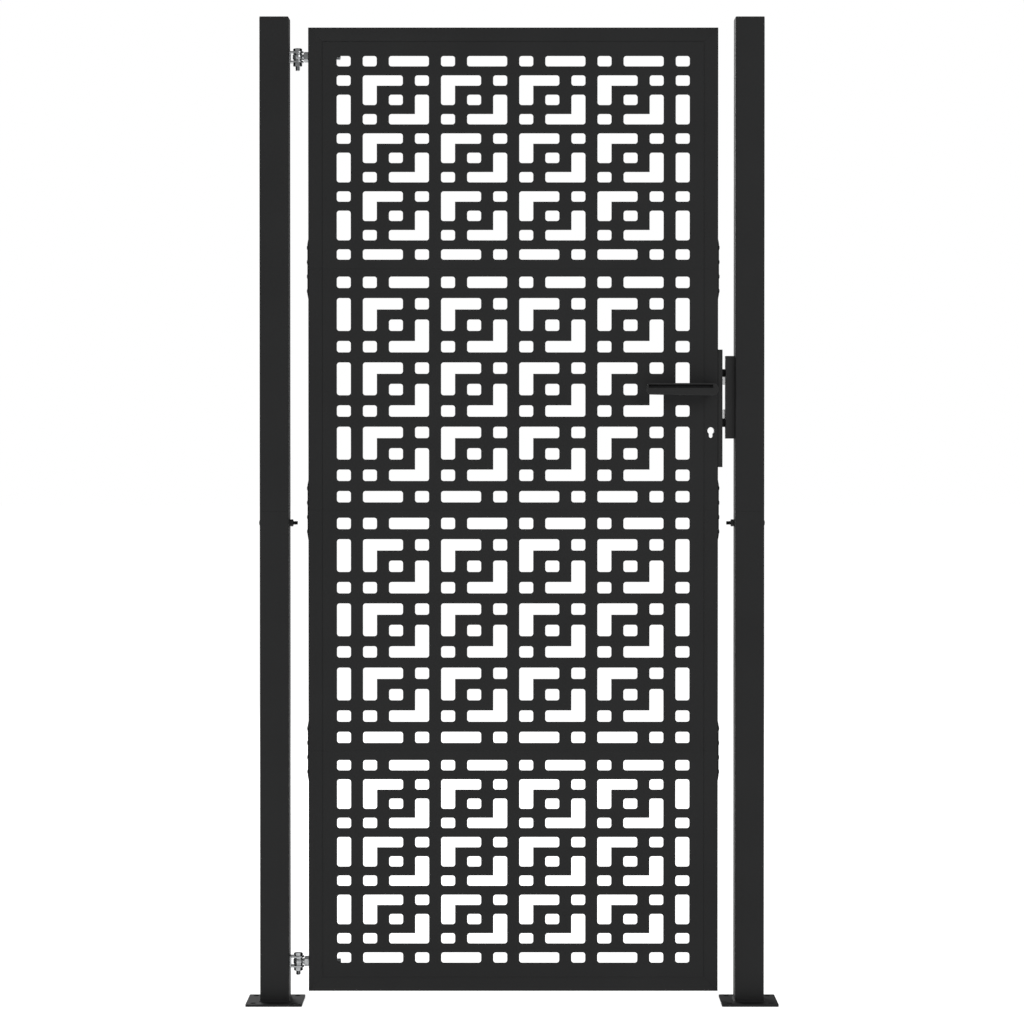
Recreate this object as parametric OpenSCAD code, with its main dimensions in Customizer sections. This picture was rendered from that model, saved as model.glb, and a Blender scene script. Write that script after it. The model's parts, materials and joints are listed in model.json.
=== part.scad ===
// Garden gate: one leaf of four bolted sections between two flanged posts.
// Front is -Y, the hinge post is at -X, and the origin is on the ground
// midway between the posts.

/* [Leaf] */
// Width of the leaf
leaf_w = 850; // [700:5:1050]
// Height of the leaf
leaf_h = 2000; // [1660:5:2400]
// Gap between the ground and the leaf
ground_gap = 25; // [15:1:80]
// Gap between the hinge post and the leaf
hinge_gap = 40; // [38:0.5:60]
// Gap between the leaf and the latch post
latch_gap = 35; // [33:0.5:45]
// Height of the posts above the leaf
post_rise = 21; // [0:1:80]

/* [Posts] */
// Outer width of the square post tube
post_w = 60; // [50:1:80]
// Wall of the post tube
post_wall = 2; // [1.5:0.1:4]
// Outer corner radius of the post tube
post_corner = 3; // [1:0.5:6]
// Length of the sleeve that joins the two halves of a post
sleeve_len = 200; // [140:5:300]
// Drop from the post's joint to its bolt
post_bolt_drop = 25; // [20:1:60]
// Diameter of the post's joint bolt
post_bolt_d = 8; // [6:1:12]
// Diameter of the post bolt's domed head
post_head_d = 19; // [16:0.5:24]
// Height of the post bolt's domed head
post_head_h = 3.5; // [2:0.1:6]
// Thickness of the post cap's top
cap_t = 2; // [1:0.5:6]
// Depth of the post cap's skirt
cap_skirt = 22; // [10:1:40]

/* [Base plates] */
// Width of the square base plate
base_w = 117; // [106:1:160]
// Thickness of the base plate
base_t = 5; // [4:0.5:10]
// Corner radius of the base plate
base_corner = 3; // [1:0.5:15]
// Distance between the anchor holes
anchor_pitch = 86; // [80:1:96]
// Diameter of the anchor holes
anchor_d = 12; // [8:0.5:14]

/* [Leaf frame] */
// Width of the frame tube, across the leaf's face
tube_w = 40; // [36:0.5:48]
// Depth of the frame tube
tube_d = 30; // [27:0.5:36]
// Wall of the frame tube
tube_wall = 1.5; // [1.2:0.1:2]
// Outer corner radius of the frame tube
tube_corner = 2; // [0.5:0.25:3]
// Size of the square crossbar tubes behind the sheets' joint edges
crossbar_w = 15; // [10:0.5:15.5]

/* [Sheets] */
// Thickness of the cut sheets
sheet_t = 1.5; // [1:0.1:3]
// Frame that stays visible around the sheets
face_border = 30; // [26:0.5:34]
// Distance from the leaf's outline to the outermost openings
pattern_border = 59.3; // [52:0.1:66]
// Width of the upright bars between the openings
bar_w = 25.1; // [18:0.1:28]
// Height of the level bars in the top and bottom sheets
bar_h_end = 18.6; // [15:0.1:21]
// Height of the level bars in the two middle sheets
bar_h_mid = 20.9; // [16:0.1:24]
// Distance from the joint to the openings in the top and bottom sheets
joint_margin_end = 19.2; // [16:0.1:24]
// Distance from the joint to the openings in the two middle sheets
joint_margin_mid = 16; // [16:0.1:22]
// Corner radius of the openings
cell_corner = 5.5; // [1:0.1:6]

/* [Section joints] */
// Length of the joining plates
strap_len = 126; // [116:1:150]
// Width of the joining plates
strap_w = 24; // [18:0.5:26]
// Thickness of the joining plates
strap_t = 2; // [1.5:0.1:3]
// Length of the sloping end of a joining plate
strap_ramp = 11; // [4:0.5:12]
// Distance between the two bolts of one section
strap_bolt_pitch = 30; // [20:1:32]
// Diameter of the section joint bolts
strap_bolt_d = 6; // [5:0.5:8]
// Diameter of their domed heads
strap_head_d = 12.5; // [10:0.5:14]
// Height of their domed heads
strap_head_h = 2; // [1.5:0.1:3]
// Thickness of the threaded bar inside the stiles
nut_bar_t = 4; // [3:0.5:6]

/* [Hinges] */
// Distance from the leaf's ends to the hinges
hinge_inset = 60; // [55:1:200]
// Distance from the post's face to the pin's axis
pin_offset = 17.5; // [17:0.1:18]
// Diameter of the hinge pin
pin_d = 10; // [8:0.5:10]
// Radial running clearance of the eye on the pin
pin_fit = 0.08; // [0.02:0.01:0.1]
// Width of the hinge bracket
bracket_w = 25; // [22:0.1:25]
// Thickness of the bracket's arms
arm_t = 3.3; // [2.5:0.1:4]
// Thickness of the bracket's back
bracket_back = 3; // [2:0.1:4]
// Outer diameter of the eye
eye_d = 20.8; // [19:0.1:22]
// Thickness of the eye
eye_t = 9.5; // [8:0.1:12]
// Thickness of the spacers above and below the eye
spacer_t = 3.4; // [2:0.1:5]
// Diameter of the eye bolt's shank
shank_d = 12; // [10:0.5:12]
// Length of the eye bolt from the leaf's edge to its end
shank_reach = 66.5; // [58:0.5:80]
// Width across flats of the eye bolt's nuts
eye_nut_af = 19; // [17:0.5:19]
// Thickness of the eye bolt's nuts
eye_nut_t = 9.5; // [8:0.1:9.5]

/* [Lock] */
// Height of the lock's centre above the leaf's middle joint
lock_rise = 211; // [190:1:220]
// Height of the faceplate
faceplate_h = 244; // [236:1:250]
// Width of the faceplate
faceplate_w = 26; // [24:0.5:27]
// How far the faceplate stands out of the leaf's edge
faceplate_out = 9.4; // [6:0.1:9.8]
// Thickness of the faceplate's front
faceplate_t = 2.8; // [2:0.1:3.5]
// Height of the lock case
case_h = 220; // [216:1:222]
// Depth of the lock case, front to back
case_d = 20; // [18:0.5:21]
// Wall of the lock case
case_wall = 1.5; // [1:0.1:1.5]
// Distance from the leaf's edge to the cylinder's axis
backset = 14.5; // [14:0.5:16]
// Drop from the lock's centre to the cylinder's axis
cylinder_drop = 46.5; // [40:0.1:48]
// Rise from the cylinder's axis to the lever's axis
lever_rise = 85.5; // [85:0.5:92]
// Diameter of the round part of the cylinder's hole
cylinder_d = 15; // [14:0.1:18]
// Width of the slot below the round part
cylinder_slot_w = 9; // [7:0.1:10.5]
// Full height of the cylinder's hole
cylinder_h = 22.5; // [20:0.5:34]

/* [Bolts] */
// Height of the latch bolt
latch_h = 16.5; // [14:0.1:17]
// Rise from the lever's axis to the latch bolt's middle
latch_rise = 18.2; // [16:0.1:19]
// Height of the dead bolt
dead_h = 18.5; // [16:0.5:24]
// Rise from the cylinder's axis to the dead bolt's middle
dead_rise = 35; // [30:0.1:36]
// Depth of both bolts, front to back
bolt_d = 14; // [13:0.5:14]
// Travel of the latch bolt over the handle's full turn
latch_travel = 9.6; // [8:0.1:9.8]
// Gap between the bolts' tips and the keep
tip_gap = 0.4; // [0.3:0.1:1]

/* [Keep] */
// Height of the keep
keep_h = 171.5; // [160:0.5:190]
// Depth of the keep out of the post
keep_out = 19; // [17:0.1:20.5]
// Width of the keep
keep_w = 30; // [27:0.5:30]
// Wall of the keep
keep_wall = 2.5; // [2:0.1:3]
// Rise from the lock's centre to the keep's centre
keep_rise = 23; // [20:0.1:26]
// Height of the upper stop ear
ear_h = 16.5; // [10:0.5:18]
// Height of the lower stop ear
ear_low_h = 18; // [10:0.5:24]
// Thickness of the stop ears
ear_t = 3; // [2:0.1:5]

/* [Lever handle] */
// Length of the lever from its axis to its tip
lever_len = 135; // [110:1:150]
// Height of the lever at its axis
lever_h = 26; // [22:0.5:30]
// Height of the lever at its tip
lever_tip_h = 22.5; // [14:0.5:24]
// Thickness of the lever's grip
lever_t = 12; // [8:0.5:14]
// Distance from the leaf's middle to the lever's outer face
lever_reach = 58; // [50:0.5:58.5]
// Diameter of the lever's neck
neck_d = 18; // [14:0.5:20]
// Width of the square spindle
spindle_w = 8; // [7:0.1:8]

/* [Hidden] */

$fn = 48;
eps = 0.5;              // how far a cutter runs past the face it cuts
hole_fit = 0.15;        // radial clearance of a bolt in its hole
slide_fit = 0.3;        // clearance around the sliding bolts
stop_gap = 0.3;         // gap between the closed leaf and the stop ears
nut_bar_play = 4;       // room above and below the threaded bars
ear_reach = 6.5;        // how far the stop ears reach behind the leaf
spacer_gap = 0.2;       // axial play of the eye between its spacers
sleeve_fit = 0.2;       // gap between a post and its sleeve
sleeve_wall = 2;
cap_wall = 2;           // wall of the cap's skirt
cap_corner = 1;
washer_t = 1.6;
post_nut_t = 0.8 * post_bolt_d;
post_nut_af = 1.6 * post_bolt_d;
post_bolt_tail = 9;     // thread past the post bolt's nut

anthracite = [0.16, 0.17, 0.18];
black = [0.08, 0.08, 0.08];
zinc = [0.75, 0.77, 0.78];
steel = [0.6, 0.6, 0.62];

// Overall places
clear_w = leaf_w + hinge_gap + latch_gap;
post_x = clear_w / 2 + post_w / 2;
post_h = ground_gap + leaf_h + post_rise;
post_joint_z = post_h / 2;
leaf_left = -clear_w / 2 + hinge_gap;
leaf_right = clear_w / 2 - latch_gap;
leaf_bottom = ground_gap;
leaf_top = ground_gap + leaf_h;
sections = 4;
section_h = leaf_h / sections;
inner_w = leaf_w - 2 * tube_w;
function section_top(s) = leaf_top - s * section_h;
function section_bottom(s) = leaf_top - (s + 1) * section_h;

// The openings: tiles of 3 by 3 cells inside one row and column of cells
tile = 3;
tiles_across = 4;
tiles_down = 3;
columns = tiles_across * tile + 2;
rows = tiles_down * tile + 2;
// Pitches and places are kept to hundredths of a millimetre, so that openings
// which share an edge meet exactly
function snap(v) = round(100 * v) / 100;
column_pitch = snap((leaf_w - 2 * pattern_border + bar_w) / columns);
cell_w = column_pitch - bar_w;
function is_end(s) = s == 0 || s == sections - 1;
function bar_h(s) = is_end(s) ? bar_h_end : bar_h_mid;
function joint_margin(s) = is_end(s) ? joint_margin_end : joint_margin_mid;
function margin_above(s) = s == 0 ? pattern_border : joint_margin(s);
function margin_below(s) = s == sections - 1 ? pattern_border : joint_margin(s);
function row_pitch(s) =
    snap((section_h - margin_above(s) - margin_below(s) + bar_h(s)) / rows);
function cell_h(s) = row_pitch(s) - bar_h(s);
function cell_left(c) = snap(leaf_left + pattern_border + c * column_pitch);
function cell_right(c) = snap(cell_left(c) + cell_w);
function cell_top(s, r) = snap(section_top(s) - margin_above(s) - r * row_pitch(s));
function cell_bottom(s, r) = snap(cell_top(s, r) - cell_h(s));

// Hinges
pin_x = -clear_w / 2 + pin_offset;
hinge_top_z = leaf_top - hinge_inset;
hinge_bottom_z = leaf_bottom + hinge_inset;
arm_low = eye_t / 2 + spacer_gap + spacer_t;
arm_high = arm_low + arm_t;
spacer_d = 18;
pin_head_af = 16;
pin_head_h = 6.4;
pin_nut_h = 8;
pin_tail = 8.5;         // thread below the pin's nut
shank_start = spacer_d / 2 + 0.4;

// Lock
lock_z = section_top(2) + lock_rise;
case_clear = 2.5;       // between the lock case and the stile's inner wall
cylinder_x = leaf_right - backset;
cylinder_z = lock_z - cylinder_drop;
lever_z = cylinder_z + lever_rise;
case_back = leaf_right - tube_w + tube_wall + case_clear;
case_front = leaf_right + faceplate_out - faceplate_t;
faceplate_front = leaf_right + faceplate_out;
keep_mouth = clear_w / 2 - keep_out;
keep_z = lock_z + keep_rise;
tip_x = keep_mouth - tip_gap;
latch_z = lever_z + latch_rise;
dead_z = cylinder_z + dead_rise;
dead_stroke = 11;       // room behind the dead bolt
dead_back = case_back + case_wall + dead_stroke;
case_inside = case_d / 2 - case_wall;
lock_screw_d = 4;
lock_screw_rise = (faceplate_h + case_h) / 4;
keep_screw_d = 5;
keep_block = 14;        // solid ends of the keep that hold its screws
keep_screw_rise = (keep_h - keep_block) / 2;
spindle_cover = 4;      // neck left solid past the spindle's end
spindle_half = lever_reach - lever_t - spindle_cover;

// Follower and latch tail
follower_r = 8;
journal_r = 6.8;
journal_fit = 0.1;
follower_t = 10;
arm_w = 5;
follower_arm = 14;
peg_r = 2;
peg_rise = 10.5;
peg_gap = 0.9;
peg_x = cylinder_x - arm_w / 2 - peg_gap - peg_r;
tail_gap = 0.6;
tail_t = (bolt_d - follower_t) / 2 - tail_gap;
tail_low = 7.7;         // underside of the tail above the lever's axis
hub_gap = 0.4;
latch_back = cylinder_x + follower_r + latch_travel + hub_gap;
tab_t = 4;
tab_h = 8;
tab_gap = 2.5;          // between the tab and the latch bolt's head
tab_x = latch_back - tab_t - tab_gap;

// Latch spring
spring_r = 2.8;
wire_r = 0.5;
spring_turns = 8;
spring_steps = 12;      // rings in one turn
wire_sides = 6;
spring_rise = 4;        // spring's axis above the top of the latch bolt

// A rectangle with round corners, centred
module rounded(w, h, r) {
    square([w - 2 * r, h], center = true);
    square([w, h - 2 * r], center = true);
    for (x = [-1, 1], y = [-1, 1])
        translate([x * (w / 2 - r), y * (h / 2 - r)])
            circle(r);
}

// The section of a rectangular tube
module tube_section(w, d, wall, corner) {
    difference() {
        rounded(w, d, corner);
        rounded(w - 2 * wall, d - 2 * wall, max(corner - wall, 0.5));
    }
}

// A bar along X, with its axis through the origin and its start at x = 0
module along_x(length, d) {
    rotate([0, 90, 0])
        cylinder(h = length, d = d);
}

// A hexagon nut or bolt head along X, with two flats level
module hex_x(length, af) {
    rotate([0, 90, 0])
        cylinder(h = length, d = af / cos(30), $fn = 6);
}

// A domed head on the YZ plane that bulges towards -X
module dome_x(d, h) {
    radius = (d * d / 4 + h * h) / (2 * h);
    intersection() {
        translate([radius - h, 0, 0])
            sphere(radius);
        translate([-h, 0, 0])
            along_x(h, d);
    }
}

// A domed bolt along +X: the head lies on the YZ plane
module domed_bolt(head_d, head_h, d, length) {
    dome_x(head_d, head_h);
    translate([-head_h / 4, 0, 0])
        along_x(length + head_h / 4, d);
}

// A countersunk screw along +X with its head's face on the YZ plane
module countersunk_screw(d, length) {
    rotate([0, 90, 0])
        cylinder(h = d / 2, r1 = d, r2 = d / 2);
    along_x(length, d);
}

// The cut for a countersunk screw
module countersunk_cut(d, length) {
    rotate([0, 90, 0])
        cylinder(h = d / 2 + hole_fit, r1 = d + hole_fit, r2 = d / 2);
    along_x(length, d + 2 * hole_fit);
    translate([-eps, 0, 0])
        along_x(eps, 2 * (d + hole_fit));
}

// ---- Posts ----

module post_half(low, high) {
    difference() {
        translate([0, 0, low])
            linear_extrude(high - low)
                tube_section(post_w, post_w, post_wall, post_corner);
        translate([-post_w, 0, post_joint_z - post_bolt_drop])
            along_x(2 * post_w, post_bolt_d + 2 * hole_fit);
    }
}

module post_lower(x) {
    color(anthracite)
        translate([x, 0, 0])
            post_half(base_t, post_joint_z);
}

module post_upper(x) {
    color(anthracite)
        translate([x, 0, 0])
            post_half(post_joint_z, post_h - cap_t);
}

// Sleeve inside the joint of a post: it hangs on the joint's bolt
module post_sleeve(x) {
    w = post_w - 2 * post_wall - 2 * sleeve_fit;
    color(steel)
        translate([x, 0, 0])
            difference() {
                translate([0, 0, post_joint_z - sleeve_len / 2])
                    linear_extrude(sleeve_len)
                        tube_section(w, w, sleeve_wall, post_corner);
                translate([-w, 0, post_joint_z - post_bolt_drop])
                    along_x(2 * w, post_bolt_d + 2 * hole_fit);
            }
}

module base_plate(x) {
    color(anthracite)
        translate([x, 0, 0])
            linear_extrude(base_t)
                difference() {
                    rounded(base_w, base_w, base_corner);
                    for (i = [-1, 1], j = [-1, 1])
                        translate([i, j] * anchor_pitch / 2)
                            circle(d = anchor_d);
                }
}

module post_cap(x) {
    skirt_w = post_w - 2 * post_wall - 2 * sleeve_fit;
    color(black)
        translate([x, 0, 0]) {
            translate([0, 0, post_h - cap_t])
                linear_extrude(cap_t)
                    rounded(post_w, post_w, post_corner);
            translate([0, 0, post_h - cap_t - cap_skirt])
                linear_extrude(cap_skirt)
                    tube_section(skirt_w, skirt_w, cap_wall, cap_corner);
        }
}

// Outer face of a post is the domed side; side is -1 or 1
module post_joint_bolt(side) {
    translate([side * (post_x + post_w / 2), 0, post_joint_z - post_bolt_drop])
        rotate([0, 0, side > 0 ? 180 : 0])
            domed_bolt(post_head_d, post_head_h, post_bolt_d,
                post_w + washer_t + post_nut_t + post_bolt_tail);
}

module post_joint_bolts() {
    color(black) {
        post_joint_bolt(-1);
        post_joint_bolt(1);
    }
}

// Washer and nut on the inner face of a post
module post_joint_nut(side) {
    translate([side * clear_w / 2, 0, post_joint_z - post_bolt_drop])
        rotate([0, 0, side > 0 ? 180 : 0])
            difference() {
                union() {
                    along_x(washer_t, 2 * post_bolt_d);
                    translate([washer_t, 0, 0])
                        hex_x(post_nut_t, post_nut_af);
                }
                translate([-eps, 0, 0])
                    along_x(washer_t + post_nut_t + 2 * eps, post_bolt_d + 0.1);
            }
}

module post_joint_nuts() {
    color(black) {
        post_joint_nut(-1);
        post_joint_nut(1);
    }
}

// ---- Hinges ----

// U bracket welded to the post: a back and two arms with round ends
module hinge_bracket(z) {
    color(zinc)
        translate([pin_x, 0, z])
            difference() {
                union() {
                    for (arm_z = [arm_low, -arm_high])
                        translate([0, 0, arm_z])
                            linear_extrude(arm_t) {
                                circle(d = bracket_w);
                                translate([-pin_offset, -bracket_w / 2])
                                    square([pin_offset, bracket_w]);
                            }
                    translate([-pin_offset, -bracket_w / 2, -arm_high])
                        cube([bracket_back, bracket_w, 2 * arm_high]);
                }
                translate([0, 0, -2 * arm_high])
                    cylinder(h = 4 * arm_high, d = pin_d + 2 * hole_fit);
            }
}

module hinge_pin(z) {
    tail = arm_high + pin_nut_h + pin_tail;
    color(zinc)
        translate([pin_x, 0, z]) {
            translate([0, 0, arm_high])
                cylinder(h = pin_head_h, d = pin_head_af / cos(30), $fn = 6);
            translate([0, 0, -tail])
                cylinder(h = tail + arm_high + 1, d = pin_d);
        }
}

module hinge_pin_nuts() {
    color(zinc)
        for (z = [hinge_top_z, hinge_bottom_z])
            translate([pin_x, 0, z - arm_high - pin_nut_h])
                difference() {
                    cylinder(h = pin_nut_h, d = pin_head_af / cos(30), $fn = 6);
                    translate([0, 0, -eps])
                        cylinder(h = pin_nut_h + 2 * eps, d = pin_d + 0.1);
                }
}

module hinge_spacers() {
    color(zinc)
        for (z = [hinge_top_z, hinge_bottom_z], low = [-arm_low, arm_low - spacer_t])
            translate([pin_x, 0, z + low])
                difference() {
                    cylinder(h = spacer_t, d = spacer_d);
                    translate([0, 0, -eps])
                        cylinder(h = spacer_t + 2 * eps, d = pin_d + 2 * hole_fit);
                }
}

// Eye on the hinge pin with a threaded shank through the stile
module eye_bolt(z) {
    color(zinc)
        translate([pin_x, 0, z])
            difference() {
                union() {
                    translate([0, 0, -eye_t / 2])
                        cylinder(h = eye_t, d = eye_d);
                    translate([shank_start, 0, 0])
                        along_x(leaf_left + shank_reach - pin_x - shank_start, shank_d);
                }
                translate([0, 0, -eye_t])
                    cylinder(h = 2 * eye_t, d = pin_d + 2 * pin_fit);
            }
}

module eye_bolt_nuts() {
    color(zinc)
        for (z = [hinge_top_z, hinge_bottom_z], x = [leaf_left - eye_nut_t, leaf_left + tube_w])
            translate([x, 0, z])
                difference() {
                    hex_x(eye_nut_t, eye_nut_af);
                    translate([-eps, 0, 0])
                        along_x(eye_nut_t + 2 * eps, shank_d + 0.1);
                }
}

// ---- Leaf frame ----

module frame_section() {
    tube_section(tube_w, tube_d, tube_wall, tube_corner);
}

// The region of the leaf's face that a mitred corner piece keeps
module mitre_keep(points) {
    translate([0, tube_d, 0])
        rotate([90, 0, 0])
            linear_extrude(2 * tube_d)
                polygon(points);
}

// Plain upright tube of one section; x is its middle
module stile_tube(x, s) {
    translate([x, 0, section_bottom(s)])
        linear_extrude(section_h)
            frame_section();
}

// Upright tube with its outer end mitred; side is -1 or 1
module stile_blank(side, s) {
    outer = side < 0 ? leaf_left : leaf_right;
    inner = outer - side * tube_w;
    x = outer - side * tube_w / 2;
    low = section_bottom(s);
    high = section_top(s);
    mitred_top = s == 0 ? tube_w : 0;
    mitred_bottom = s == sections - 1 ? tube_w : 0;
    if (is_end(s))
        intersection() {
            stile_tube(x, s);
            mitre_keep([[outer, low], [outer, high], [inner, high - mitred_top],
                [inner, low + mitred_bottom]]);
        }
    else
        stile_tube(x, s);
}

// Holes in an outer wall for the section joint bolts
module joint_bolt_holes(side, s) {
    outer = side < 0 ? leaf_left : leaf_right;
    for (z = joint_bolt_heights())
        if (z > section_bottom(s) && z < section_top(s))
            translate([outer - tube_wall - eps, 0, z])
                along_x(2 * (tube_wall + eps), strap_bolt_d + 2 * hole_fit);
}

module hinge_stile(s) {
    color(anthracite)
        difference() {
            stile_blank(-1, s);
            joint_bolt_holes(-1, s);
            for (z = [hinge_top_z, hinge_bottom_z])
                translate([leaf_left - eps, 0, z])
                    along_x(tube_w + 2 * eps, shank_d + 2 * hole_fit);
        }
}

module latch_stile(s) {
    color(anthracite)
        difference() {
            stile_blank(1, s);
            joint_bolt_holes(1, s);
            if (s == 1)
                lock_cuts();
        }
}

// Level tube at the top or bottom of the leaf, mitred at both ends
module rail(outer_z, inner_z) {
    low = min(outer_z, inner_z);
    color(anthracite)
        intersection() {
            translate([leaf_left, 0, low + tube_w / 2])
                rotate([90, 0, 90])
                    linear_extrude(leaf_w)
                        rotate(90)
                            frame_section();
            mitre_keep([[leaf_left, outer_z], [leaf_right, outer_z],
                [leaf_right - tube_w, inner_z], [leaf_left + tube_w, inner_z]]);
        }
}

// Small tube behind a sheet's joint edge; low is its underside
module crossbar(low) {
    color(anthracite)
        translate([leaf_left + tube_w, -tube_d / 2 + crossbar_w / 2, low + crossbar_w / 2])
            rotate([90, 0, 90])
                linear_extrude(inner_w)
                    tube_section(crossbar_w, crossbar_w, tube_wall, tube_corner);
}

// ---- Sheets ----

// One opening that spans columns c0 to c1 and rows r0 to r1, counted from
// the sheet's top left cell
module cells(s, c0, c1, r0, r1) {
    left = cell_left(c0);
    right = cell_right(c1);
    low = cell_bottom(s, r1);
    high = cell_top(s, r0);
    r = cell_corner;
    translate([left + r, low])
        square([right - left - 2 * r, high - low]);
    translate([left, low + r])
        square([right - left, high - low - 2 * r]);
    for (x = [left + r, right - r], z = [low + r, high - r])
        translate([x, z])
            circle(r);
}

// Two facing hooks and three single cells that fill 3 by 3 cells
module tile_cells(s, c, r) {
    cells(s, c, c + 1, r, r);
    cells(s, c, c, r, r + 1);
    cells(s, c + 2, c + 2, r, r);
    cells(s, c + 1, c + 1, r + 1, r + 1);
    cells(s, c + 2, c + 2, r + 1, r + 2);
    cells(s, c + 1, c + 2, r + 2, r + 2);
    cells(s, c, c, r + 2, r + 2);
}

// The single row of cells above and below the tiles
module border_rows(s) {
    last = rows - 1;
    for (c = [0, columns - 1], r = [0, last])
        cells(s, c, c, r, r);
    for (t = [0:tiles_across - 1]) {
        c = 1 + t * tile;
        cells(s, c, c, 0, 0);
        cells(s, c + 1, c + 2, 0, 0);
        cells(s, c, c + 1, last, last);
        cells(s, c + 2, c + 2, last, last);
    }
}

// The column of cells beside the tiles: one single and one tall cell each.
// The single cell is on top in the first sheet and below in the others.
module border_columns(s) {
    single = s == 0 ? 0 : 2;
    tall = s == 0 ? 1 : 0;
    for (c = [0, columns - 1], t = [0:tiles_down - 1]) {
        r = 1 + t * tile;
        cells(s, c, c, r + single, r + single);
        cells(s, c, c, r + tall, r + tall + 1);
    }
}

module panel(s) {
    low = section_bottom(s) + (s == sections - 1 ? face_border : 0);
    high = section_top(s) - (s == 0 ? face_border : 0);
    color(anthracite)
        translate([0, -tube_d / 2, 0])
            rotate([90, 0, 0])
                linear_extrude(sheet_t)
                    difference() {
                        translate([leaf_left + face_border, low])
                            square([leaf_w - 2 * face_border, high - low]);
                        border_rows(s);
                        border_columns(s);
                        for (i = [0:tiles_across - 1], j = [0:tiles_down - 1])
                            tile_cells(s, 1 + i * tile, 1 + j * tile);
                    }
}

// ---- Section joints ----

function joint_z(j) = section_bottom(j);
function bolt_offsets() = [for (i = [-1.5, -0.5, 0.5, 1.5]) i * strap_bolt_pitch];
function joint_bolt_heights() =
    [for (j = [0:sections - 2], dz = bolt_offsets()) joint_z(j) + dz];

// Puts its children on the leaf's edge at each joint, with +X inwards
module at_joints(side) {
    for (j = [0:sections - 2])
        translate([side < 0 ? leaf_left : leaf_right, 0, joint_z(j)])
            rotate([0, 0, side > 0 ? 180 : 0])
                children();
}

module strap_holes(length) {
    for (dz = bolt_offsets())
        translate([-length, 0, dz])
            along_x(2 * length, strap_bolt_d + 2 * hole_fit);
}

// Joining plate with sloping ends
module joint_plate() {
    half = strap_len / 2;
    difference() {
        translate([0, strap_w / 2, 0])
            rotate([90, 0, 0])
                linear_extrude(strap_w)
                    polygon([[0, -half], [-strap_t, strap_ramp - half],
                        [-strap_t, half - strap_ramp], [0, half]]);
        strap_holes(2 * strap_t);
    }
}

module joint_plates(side) {
    color(anthracite)
        at_joints(side)
            joint_plate();
}

module joint_bolts(side) {
    color(anthracite)
        at_joints(side)
            for (dz = bolt_offsets())
                translate([-strap_t, 0, dz])
                    domed_bolt(strap_head_d, strap_head_h, strap_bolt_d,
                        strap_t + tube_wall + nut_bar_t + 2);
}

// Threaded bar inside the stiles that bridges the joint
module nut_bars(side) {
    bar = tube_d - 2 * tube_wall - 2 * nut_bar_play;
    color(steel)
        at_joints(side)
            difference() {
                translate([tube_wall, -bar / 2, -strap_len / 2])
                    cube([nut_bar_t, bar, strap_len]);
                strap_holes(tube_w);
            }
}

// ---- Lock ----

// Round hole with a slot below it, along Y, grown by clear on every side
module cylinder_profile(clear) {
    slot_w = cylinder_slot_w + 2 * clear;
    slot_low = cylinder_d / 2 - cylinder_h - clear;
    translate([cylinder_x, tube_d, cylinder_z])
        rotate([90, 0, 0])
            linear_extrude(2 * tube_d) {
                circle(d = cylinder_d + 2 * clear);
                translate([-slot_w / 2, slot_low + slot_w / 2])
                    square([slot_w, -slot_low - slot_w / 2]);
                translate([0, slot_low + slot_w / 2])
                    circle(d = slot_w);
            }
}

// A round bar through the leaf along Y at the lever's axis
module through_y(d, half) {
    translate([cylinder_x, half, lever_z])
        rotate([90, 0, 0])
            cylinder(h = 2 * half, d = d);
}

// A block centred on Y that fills x0 to x1 and z0 to z1
module block(x0, x1, w, z0, z1) {
    translate([x0, -w / 2, z0])
        cube([x1 - x0, w, z1 - z0]);
}

// Openings in the stile for the lock case, the cylinder and the spindle
module lock_cuts() {
    block(leaf_right - tube_wall - eps, leaf_right + eps, case_d + 2 * slide_fit,
        lock_z - case_h / 2 - slide_fit, lock_z + case_h / 2 + slide_fit);
    cylinder_profile(0);
    through_y(2 * journal_r + 2, tube_d);
    for (dz = [-1, 1])
        translate([leaf_right - 2 * tube_wall, 0, lock_z + dz * lock_screw_rise])
            along_x(4 * tube_wall, lock_screw_d + 2 * hole_fit);
}

// Windows that the two bolts slide through
module bolt_windows(x0, x1) {
    w = bolt_d + 2 * slide_fit;
    block(x0, x1, w, latch_z - latch_h / 2 - slide_fit, latch_z + latch_h / 2 + slide_fit);
    block(x0, x1, w, dead_z - dead_h / 2 - slide_fit, dead_z + dead_h / 2 + slide_fit);
}

module lock_case() {
    color(steel)
        difference() {
            block(case_back, case_front, case_d, lock_z - case_h / 2, lock_z + case_h / 2);
            block(case_back + case_wall, case_front - case_wall, 2 * case_inside,
                lock_z - case_h / 2 + case_wall, lock_z + case_h / 2 - case_wall);
            bolt_windows(case_front - case_wall - eps, case_front + eps);
            cylinder_profile(0);
            through_y(2 * (journal_r + journal_fit), tube_d);
        }
}

module lock_faceplate() {
    color(black)
        difference() {
            block(leaf_right, faceplate_front, faceplate_w,
                lock_z - faceplate_h / 2, lock_z + faceplate_h / 2);
            block(leaf_right - eps, case_front, case_d + 2 * slide_fit,
                lock_z - case_h / 2 - slide_fit, lock_z + case_h / 2 + slide_fit);
            bolt_windows(case_front - eps, faceplate_front + eps);
            for (dz = [-1, 1])
                translate([faceplate_front, 0, lock_z + dz * lock_screw_rise])
                    rotate([0, 0, 180])
                        countersunk_cut(lock_screw_d, 2 * faceplate_out);
        }
}

module lock_screws() {
    color(zinc)
        for (dz = [-1, 1])
            translate([faceplate_front, 0, lock_z + dz * lock_screw_rise])
                rotate([0, 0, 180])
                    countersunk_screw(lock_screw_d, faceplate_out + 2 * tube_wall);
}

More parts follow.
